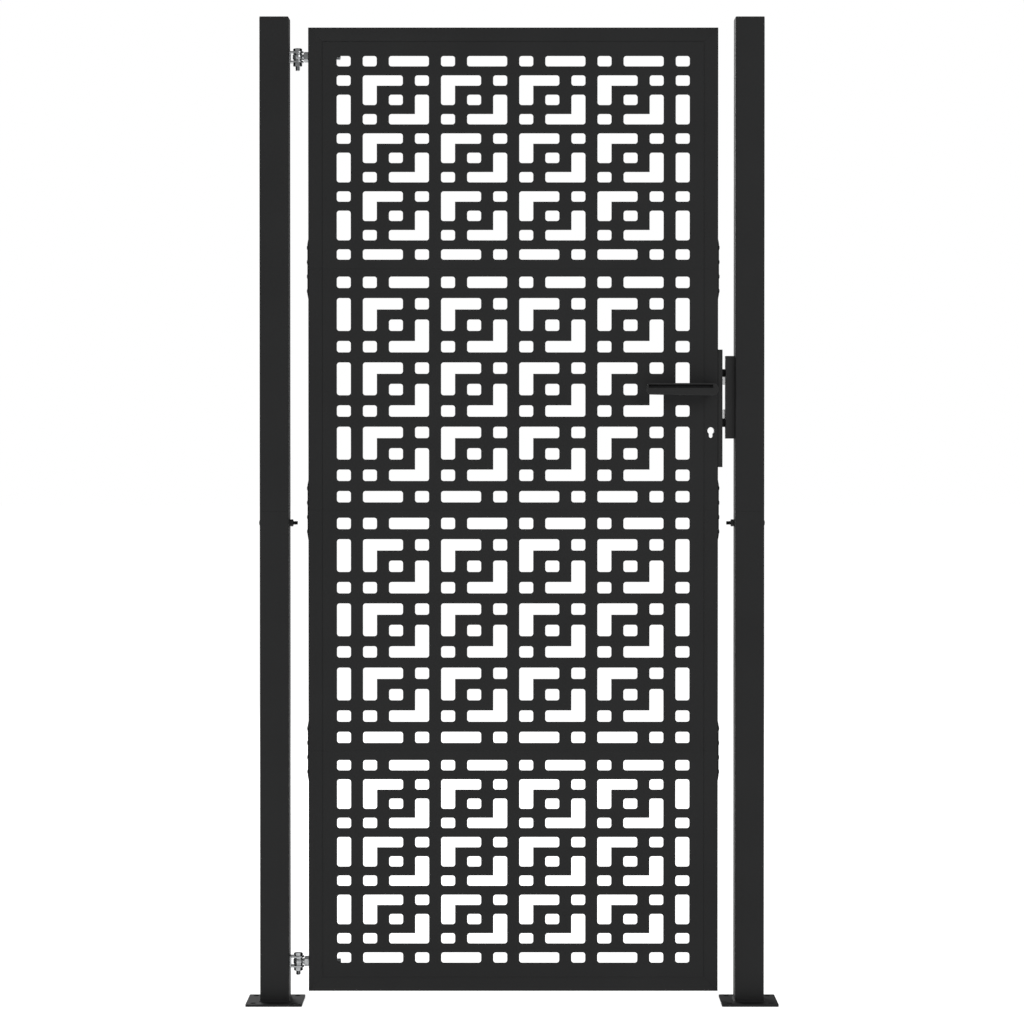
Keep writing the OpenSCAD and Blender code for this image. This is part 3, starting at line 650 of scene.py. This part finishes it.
print("a thread 10 mm long at a pitch of 1 mm has", len(thread(0, 10, 3, 1.0)), "outline points")

# %% [markdown]
# ## Bolts of the joints
#
# The sections of the leaf are joined by plates with four low domed bolts each, with a hexagon
# socket. One is turned and copied. The posts' two halves are held by one larger bolt each: a
# carriage bolt, whose smooth dome has no socket.

# %% Joint bolts
SECTION_TOPS = [box_mm(f"hinge_stile_{i}")[1].z for i in (2, 3, 4)]
BOLT_OFFSETS = (-45, -15, 15, 45)  # above and below each joint between two sections
HEAD_RADIUS, HEAD_HEIGHT = 6.25, 2.0
BOLT_RADIUS, BOLT_LENGTH, BOLT_PITCH = 3, 9.5, 1.0


def joint_bolt():
    outline = dome(HEAD_RADIUS, HEAD_HEIGHT) + [(0, BOLT_RADIUS)]
    outline += thread(0, BOLT_LENGTH, BOLT_RADIUS, BOLT_PITCH)
    socket = prism(4.0, -HEAD_HEIGHT - 1, -0.8)
    return carve(lathe("joint_bolt", outline, steps=28), socket)


def joint_bolt_set(side):
    plates_low, plates_high = box_mm(f"joint_plates_{side}_side")
    face, turn = (plates_low.x, 0) if side == "hinge" else (plates_high.x, 180)
    model = joint_bolt()
    row = []
    for joint in SECTION_TOPS:
        for offset in BOLT_OFFSETS:
            row.append(copied(model, turned("Z", turn, (face, 0, joint + offset))))
    discard(model)
    finish_piece(joined(row), f"domed_bolts_{side}_side", f"joint_bolts_{side}_side")


joint_bolt_set("hinge")
joint_bolt_set("latch")

# %% [markdown]
# The posts' bolts are turned the same way, from a wider dome and a shank that is plain as far as
# the post's inner wall and threaded only where the nut sits.

# %% Post bolts
POST_BOLT_Z = sum(corner.z for corner in box_mm("post_joint_nuts")) / 2
SHANK_RADIUS, SHANK_PLAIN, SHANK_LENGTH = 4, 56, 77


def post_bolts():
    outline = dome(9.5, 3.5, points=8) + [(0, SHANK_RADIUS), (SHANK_PLAIN, SHANK_RADIUS)]
    outline += thread(SHANK_PLAIN, SHANK_LENGTH, SHANK_RADIUS, 1.25)
    model = lathe("post_bolt", outline)
    outer = box_mm("latch_post_lower")[1].x
    pair = [copied(model, turned("Z", 0, (-outer, 0, POST_BOLT_Z))),
        copied(model, turned("Z", 180, (outer, 0, POST_BOLT_Z)))]
    discard(model)
    finish_piece(joined(pair), "post_carriage_bolts", "post_joint_bolts")


post_bolts()

# %% [markdown]
# ## Nuts
#
# A hexagon nut is a hexagon bar that the lathe has also chamfered: the corners are cut back to a
# cone at each end. Here the bar is intersected with a turned disc, and the bore is cut out of it.

# %% Hexagon nuts
HINGE_Z = {name: sum(corner.z for corner in box_mm("eye_bolt_" + name)) / 2
    for name in ("top", "bottom")}


def hex_nut(af, thick, bore):
    """A nut with its corners up; without a bore it is a bolt's head."""
    corner = af / 2 * HEX + 0.05
    ring = 0.47 * af  # radius where the chamfer meets the flat end
    slope = 0.55 * (corner - ring)  # about 30 degrees
    disc = lathe("disc", [(0, 0), (0, ring), (slope, corner), (thick - slope, corner),
        (thick, ring), (thick, 0)], steps=48)
    nut = carve(prism(af, 0, thick, corner_up=True), disc, "INTERSECT")
    if bore:
        hole = lathe("hole", [(-1, 0), (-1, bore), (thick + 1, bore), (thick + 1, 0)])
        carve(nut, hole)
    only(nut)
    bpy.ops.object.shade_smooth_by_angle(angle=math.radians(25))
    return nut


def eye_nuts():
    thick = 9.5
    model = hex_nut(19, thick, 6.05)
    low, high = box_mm("eye_bolt_nuts")
    row = [copied(model, turned("Z", 0, (x, 0, z)))
        for x in (low.x, high.x - thick) for z in HINGE_Z.values()]
    discard(model)
    finish_piece(joined(row), "eye_bolt_hexagon_nuts", "eye_bolt_nuts")


def post_nuts():
    inner = box_mm("latch_post_lower")[0].x
    thick = 1.6
    washer = lathe("washer", [(0, 4.2), (0, 7.8), (0.2, 7.95), (thick - 0.2, 7.95),
        (thick, 7.8), (thick, 4.2)], closed=True)
    nut = settle(hex_nut(12.8, 6.4, 4.05), turned("Z", 0, (thick, 0, 0)))
    model = joined([washer, nut])
    pair = [copied(model, turned("Z", 0, (-inner, 0, POST_BOLT_Z))),
        copied(model, turned("Z", 180, (inner, 0, POST_BOLT_Z)))]
    discard(model)
    finish_piece(joined(pair), "post_nuts_and_washers", "post_joint_nuts")


eye_nuts()
post_nuts()

# %% [markdown]
# ## Hinges
#
# Each hinge is an eye bolt that turns on an M10 pin between the arms of a bracket. The eye is a
# forged ring with rounded rims; the shank is threaded along its whole length, so that the leaf can
# be set nearer to or further from the post by its two nuts.

# %% Eye bolts
PIN_X = joint_place["leaf_swing"].x
EYE_HALF = 4.75  # half the ring's height along the pin
EYE_OUTER, EYE_BORE = 10.4, 5.1


def eye_bolt(name, z):
    outside = [(-EYE_HALF, 9.5), (-4.4, 10.1), (-3.6, EYE_OUTER),
        (3.6, EYE_OUTER), (4.4, 10.1), (EYE_HALF, 9.5)]
    bore = [(EYE_HALF, 5.5), (4.4, EYE_BORE), (-4.4, EYE_BORE)]
    ring = lathe("eye", [(-EYE_HALF, 5.5)] + outside + bore, steps=48, closed=True)
    settle(ring, turned("Y", -90, (0, 0, 0)))
    root, neck, end = 9.5, 14, 89
    outline = [(root, 0), (root, 5.9), (neck, 5.9)] + thread(neck, end, 6, 1.75)
    shank = lathe("shank", outline, steps=28)
    bolt = settle(carve(ring, shank, "UNION"), turned("Z", 0, (PIN_X, 0, z)))
    finish_piece(bolt, "threaded_eye_" + name, "eye_bolt_" + name)


# %% [markdown]
# The pin is an M10 bolt that hangs with its head up, so its thread points down. Two turned spacers
# fill the room between the eye and the bracket's arms, and a nut below keeps the pin in.

# %% Hinge pins, their nuts and the spacers
PIN_FLATS = 16
PIN_RADIUS = 5
PIN_NUT_LOW = -19.65  # below the middle of the eye
SPACER_LOWS = (-8.35, 4.95)  # one spacer under the eye and one on it
SPACER = [(0, 5.2), (0, 8.7), (0.3, 9), (3.1, 9), (3.4, 8.7), (3.4, 5.2)]


def hinge_pin(name, z):
    """The lathe turns the thread upwards, so its outline is mirrored to point down."""
    top, plain, length = 12.6, 6, 28.15
    threaded = [(-along, radius) for along, radius in thread(plain, length, PIN_RADIUS, 1.5)]
    outline = [(top, 0), (top, PIN_RADIUS), (-plain, PIN_RADIUS)] + threaded
    rod = lathe("rod", outline, steps=32)
    head = settle(hex_nut(PIN_FLATS, 6.4, 0), turned("Z", 0, (11.65, 0, 0)))
    pin = settle(joined([rod, head]), turned("Y", -90, (PIN_X, 0, z)))
    finish_piece(pin, "hexagon_pin_" + name, "hinge_pin_" + name)


def pin_nuts():
    nut = settle(hex_nut(PIN_FLATS, 8, 5.05), turned("Y", -90, (PIN_X, 0, 0)))
    pair = [copied(nut, turned("Z", 0, (0, 0, z + PIN_NUT_LOW))) for z in HINGE_Z.values()]
    discard(nut)
    finish_piece(joined(pair), "hinge_pin_hexagon_nuts", "hinge_pin_nuts")


def spacers():
    disc = lathe("disc", SPACER, steps=40, closed=True)
    settle(disc, turned("Y", -90, (PIN_X, 0, 0)))
    row = [copied(disc, turned("Z", 0, (0, 0, z + low)))
        for z in HINGE_Z.values() for low in SPACER_LOWS]
    discard(disc)
    finish_piece(joined(row), "turned_spacers", "hinge_spacers")


for name, z in HINGE_Z.items():
    eye_bolt(name, z)
    hinge_pin(name, z)
pin_nuts()
spacers()

# %% [markdown]
# ## Lock screws
#
# The faceplate and the keep are held by countersunk screws, flush with the metal, with a hexagon
# socket. Only their heads are seen, in the gap beside the leaf.

# %% Countersunk screws


def socket_screw(size, length):
    outline = [(0, 0), (0, 0.97 * size), (0.1, size), (size / 2, size / 2)]
    screw = lathe("screw", outline + thread(size / 2, length, size / 2, 0.16 * size))
    return carve(screw, prism(0.62 * size, -1, 0.45 * size))


def screw_pair(node, size, length, face, turn):
    """Two screws whose heads lie in the plane x = face, one head's radius from the box's ends."""
    low, high = box_mm(node)
    model = socket_screw(size, length)
    pair = [copied(model, turned("Z", turn, (face, 0, z))) for z in (low.z + size, high.z - size)]
    discard(model)
    finish_piece(joined(pair), node + "_turned", node)


screw_pair("lock_screws", size=4, length=12.4, face=box_mm("lock_screws")[1].x, turn=180)
screw_pair("keep_screws", size=5, length=18.9, face=box_mm("keep_screws")[0].x, turn=0)

# %% [markdown]
# ## Bolts of the lock
#
# Only the nose of each bolt is seen. The dead bolt is a plain bar with broken edges. The latch
# bolt's nose is cut slanting on the side that meets the keep as the leaf closes.

# %% Latch bolt and dead bolt
TOUCH = 0.01  # a corner this near a plane lies in it


def dead_bolt():
    low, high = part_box("dead_bolt")
    deselect()
    bpy.ops.mesh.primitive_cube_add(size=1, location=(low + high) / 2, scale=high - low)
    bar = settle(bpy.context.object)
    tip = high.x / MM
    pick(bar, "EDGE", lambda spot: abs(spot.x - tip) < TOUCH)
    bpy.ops.mesh.bevel(offset=1.0 * MM, segments=3, affect="EDGES")
    bpy.ops.object.mode_set(mode="OBJECT")
    round_edges(bar, 0.3, angle=50)
    finish_piece(bar, "dead_bolt_bar", "dead_bolt")


def latch_bolt():
    bolt = raw_copy("latch_bolt")
    low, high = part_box("latch_bolt")
    tip, side = high.x / MM, high.y / MM
    found = pick(bolt, "EDGE",
        lambda spot: abs(spot.x - tip) < TOUCH and abs(spot.y - side) < TOUCH)
    bpy.ops.mesh.bevel(offset=5.0 * MM, segments=1, affect="EDGES")
    bpy.ops.object.mode_set(mode="OBJECT")
    print("slanting nose from", found, "edge")
    round_edges(bolt, 0.4)
    finish_piece(bolt, "slanting_latch_bolt", "latch_bolt")


dead_bolt()
latch_bolt()

# %% [markdown]
# ## Levers
#
# A lever is a flat bar on a round neck. It starts as a plane of its outer size: the far corners are
# rounded small and the near ones to a half circle, the tip is drawn up a little, and it is extruded
# to its thickness. A shallow channel runs along the top of its face, as on many cast handles.

# %% The grip and its channel
GRIP_LONG, GRIP_HIGH, GRIP_THICK = 148, 26, 12
GRIP_MIDDLE = -61  # from the pivot
GRIP_FAR = -130  # beyond this are only the corners of the free end
NEAR_ROUND = 12.9  # just under half the height, so that the two rounds never cross
FAR_ROUND = 6
TIP_RISE = 3.5


def lever_blank():
    """The grip, lying with its pivot at the origin and its face up."""
    deselect()
    bpy.ops.mesh.primitive_plane_add(size=1)
    grip = bpy.context.object
    grip.scale = (GRIP_LONG * MM, GRIP_HIGH * MM, 1)
    grip.location = (GRIP_MIDDLE * MM, 0, 0)
    settle(grip)
    pick(grip, "VERT", lambda spot: spot.x < GRIP_FAR and spot.y < 0)
    bpy.ops.transform.translate(value=(0, TIP_RISE * MM, 0))
    pick(grip, "VERT", lambda spot: spot.x > 0)
    bpy.ops.mesh.bevel(offset=NEAR_ROUND * MM, segments=12, affect="VERTICES")
    pick(grip, "VERT", lambda spot: spot.x < GRIP_FAR)
    bpy.ops.mesh.bevel(offset=FAR_ROUND * MM, segments=6, affect="VERTICES")
    pick(grip, "VERT", lambda spot: True)
    bpy.ops.mesh.remove_doubles(threshold=0.3 * MM)
    pick(grip, "FACE", lambda spot: True)
    bpy.ops.mesh.extrude_region_move(
        TRANSFORM_OT_translate={"value": (0, 0, GRIP_THICK * MM)})
    pick(grip, "FACE", lambda spot: True)
    bpy.ops.mesh.normals_make_consistent(inside=False)
    bpy.ops.object.mode_set(mode="OBJECT")
    return grip


def channel():
    """The tool that cuts the channel: a long bar with sloping sides."""
    deselect()
    bpy.ops.mesh.primitive_cube_add(size=1)
    bar = bpy.context.object
    bar.scale = (134 * MM, 8 * MM, 9 * MM)
    middle = Vector((-64.5, 6.8, 8.5)) * MM
    bar.location = middle
    settle(bar)
    pick(bar, "FACE", lambda spot: spot.z < 8)
    bpy.ops.transform.resize(value=(0.985, 0.75, 1), center_override=(middle.x, middle.y, 0))
    bpy.ops.object.mode_set(mode="OBJECT")
    return bar


# %% [markdown]
# The edges are rounded before the channel is cut, because a bevel that meets the channel's narrow
# faces would fold over. The neck is a cylinder that ends inside the grip. The back lever is the
# front one turned over and mirrored, so its normals are worked out again.

# %% Both levers
LEVER_OUT = 46  # from the middle of the leaf to the back of the grip
NECK_LONG, NECK_RADIUS = 31.6, 9
NECK_SUNK = 1  # the neck's end lies inside the grip


def lever(side):
    grip = lever_blank()
    round_edges(grip, 0.8, segments=3)
    carve(grip, channel())
    only(grip)
    bpy.ops.object.shade_smooth_by_angle(angle=math.radians(35))
    modify(grip, "WEIGHTED_NORMAL", keep_sharp=True)
    deselect()
    bpy.ops.mesh.primitive_cylinder_add(vertices=48, radius=NECK_RADIUS * MM,
        depth=NECK_LONG * MM, location=(0, 0, (NECK_SUNK - NECK_LONG / 2) * MM))
    neck = settle(bpy.context.object)
    pick(neck, "FACE", lambda spot: spot.z < -30)
    bpy.ops.mesh.inset(thickness=1 * MM)
    bpy.ops.object.mode_set(mode="OBJECT")
    round_edges(neck, 0.8)
    piece = joined([grip, neck])
    settle(piece, Matrix.Rotation(math.radians(90), 4, "X"))
    if side == "back":
        settle(piece, Matrix.Rotation(math.radians(180), 4, "X"))
        settle(piece, Matrix.Diagonal((1, 1, -1, 1)))
        pick(piece, "FACE", lambda spot: True)
        bpy.ops.mesh.normals_make_consistent(inside=False)
        bpy.ops.object.mode_set(mode="OBJECT")
    pivot = joint_place["handle_turn"]
    reach = -LEVER_OUT if side == "front" else LEVER_OUT
    settle(piece, Matrix.Translation(Vector((pivot.x, reach, pivot.z)) * MM))
    finish_piece(piece, "lever_" + side + "_cast", "lever_" + side)
    print([[round(v / MM, 1) for v in c] for c in (piece.bound_box[0], piece.bound_box[6])])


lever("front")
lever("back")
